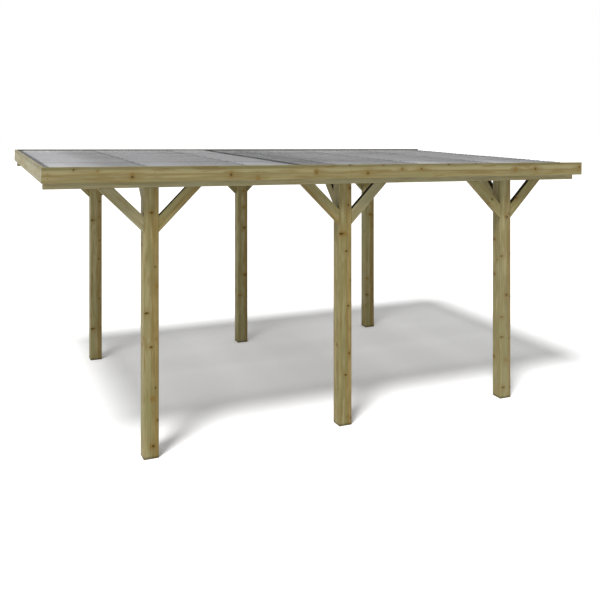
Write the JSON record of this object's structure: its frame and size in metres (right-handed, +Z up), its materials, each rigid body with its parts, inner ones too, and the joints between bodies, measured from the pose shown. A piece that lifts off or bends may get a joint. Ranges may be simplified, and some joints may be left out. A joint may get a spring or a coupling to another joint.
{
  "type": "timber carport",
  "caption": "Open timber carport: square posts with knee braces carry long beams, rafters and fascia boards under a low roof of translucent corrugated sheets.",
  "frame": {"origin": "ground level under the middle of the roof", "axes": "+X along the roof towards its drip end, +Y to the back, +Z up"},
  "size_m": [5.0414, 3.04, 2.306],
  "materials": {
    "post_timber": "planed pressure-treated softwood, green-brown, with knots",
    "frame_timber": "planed pressure-treated softwood, green-brown",
    "brace_timber": "planed pressure-treated softwood, green-brown",
    "fascia_timber": "planed pressure-treated boards, green-brown, with knots",
    "roof_sheet": "translucent grey corrugated sheet",
    "fixing_steel": "zinc-plated steel, of the screw heads that the looks add"
  },
  "bodies": {
    "root": {"post_front_left": "post_timber", "post_front_middle": "post_timber", "post_front_right": "post_timber", "post_back_left": "post_timber", "post_back_middle": "post_timber", "post_back_right": "post_timber", "beam_front": "frame_timber", "beam_back": "frame_timber", "rafter_1": "frame_timber", "rafter_2": "frame_timber", "rafter_3": "frame_timber", "rafter_4": "frame_timber", "rafter_5": "frame_timber", "rafter_6": "frame_timber", "rafter_7": "frame_timber", "brace_front_left_left": "brace_timber", "brace_front_left_right": "brace_timber", "brace_front_left_inner": "brace_timber", "brace_front_middle_left": "brace_timber", "brace_front_middle_right": "brace_timber", "brace_front_middle_inner": "brace_timber", "brace_front_right_left": "brace_timber", "brace_front_right_right": "brace_timber", "brace_front_right_inner": "brace_timber", "brace_back_left_left": "brace_timber", "brace_back_left_right": "brace_timber", "brace_back_left_inner": "brace_timber", "brace_back_middle_left": "brace_timber", "brace_back_middle_right": "brace_timber", "brace_back_middle_inner": "brace_timber", "brace_back_right_left": "brace_timber", "brace_back_right_right": "brace_timber", "brace_back_right_inner": "brace_timber", "fascia_front": "fascia_timber", "fascia_back": "fascia_timber", "fascia_end": "fascia_timber", "sheet_upper_1": "roof_sheet", "sheet_upper_2": "roof_sheet", "sheet_upper_3": "roof_sheet", "sheet_upper_4": "roof_sheet", "sheet_lower_1": "roof_sheet", "sheet_lower_2": "roof_sheet", "sheet_lower_3": "roof_sheet", "sheet_lower_4": "roof_sheet"}
  },
  "joints": []
}
